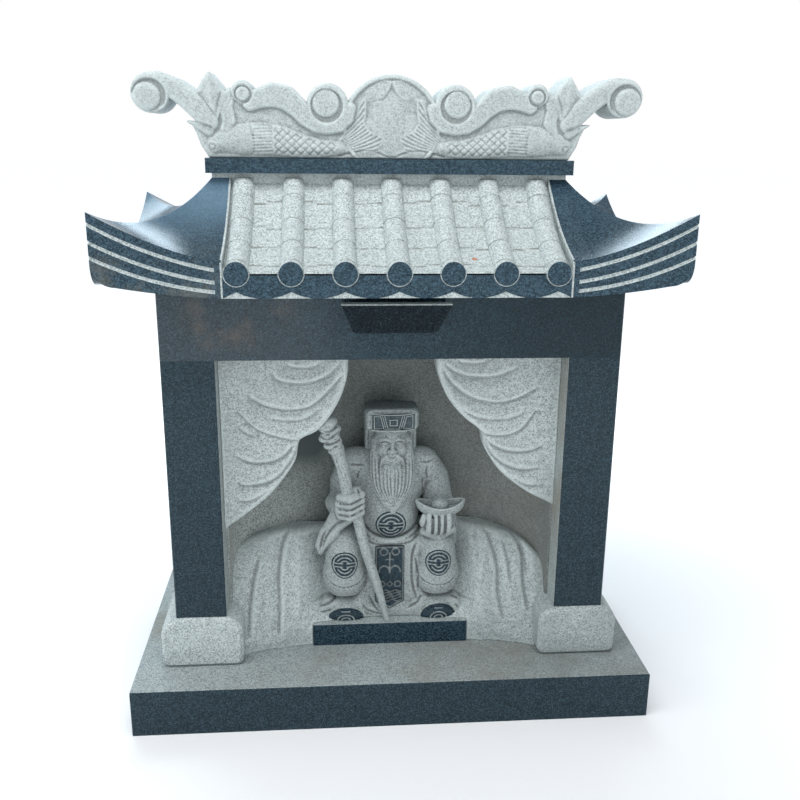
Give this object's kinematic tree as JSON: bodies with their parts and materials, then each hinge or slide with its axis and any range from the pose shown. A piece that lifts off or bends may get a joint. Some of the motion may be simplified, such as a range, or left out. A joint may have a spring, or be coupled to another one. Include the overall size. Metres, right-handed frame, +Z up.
{
  "type": "granite wayside shrine",
  "caption": "Small granite shrine: tiled roof with up-turned corners and carved crest over a niche with curtains and a seated bearded figure, on pillow feet and a slab.",
  "frame": {"origin": "on the ground, at the middle of the base slab and of the whole outline", "axes": "+X to the viewer's right of the front, +Y from the open front to the back, +Z up"},
  "size_m": [0.806, 0.436, 0.9668],
  "materials": {
    "polished_granite": "polished dark granite with fine light specks",
    "honed_granite": "the same granite left honed, light salt and pepper grey"
  },
  "bodies": {
    "root": {"back_eave_band": "polished_granite", "back_tile_ends": "polished_granite", "back_tile_ribs": "honed_granite", "back_wall": "polished_granite", "base_slab": "polished_granite", "ceiling_slab": "polished_granite", "figure_beard": "honed_granite", "figure_body": "honed_granite", "figure_hat": "honed_granite", "figure_head": "honed_granite", "figure_plinth": "polished_granite", "front_eave_band": "polished_granite", "front_lintel": "polished_granite", "front_tile_ends": "polished_granite", "front_tile_ribs": "honed_granite", "gold_ingot": "honed_granite", "left_arm": "honed_granite", "left_curtain": "honed_granite", "left_foot_stone": "honed_granite", "left_front_post": "polished_granite", "left_leg": "honed_granite", "left_roof_wing": "polished_granite", "left_seat_drapery": "honed_granite", "left_shoe": "polished_granite", "left_side_wall": "polished_granite", "name_board": "polished_granite", "niche_panel": "honed_granite", "ridge_crest": "honed_granite", "ridge_neck": "honed_granite", "ridge_slab": "polished_granite", "right_arm": "honed_granite", "right_curtain": "honed_granite", "right_foot_stone": "honed_granite", "right_front_post": "polished_granite", "right_leg": "honed_granite", "right_roof_wing": "polished_granite", "right_seat_drapery": "honed_granite", "right_shoe": "polished_granite", "right_side_wall": "polished_granite", "robe_apron": "polished_granite", "roof_core": "honed_granite", "staff": "honed_granite"}
  },
  "joints": []
}
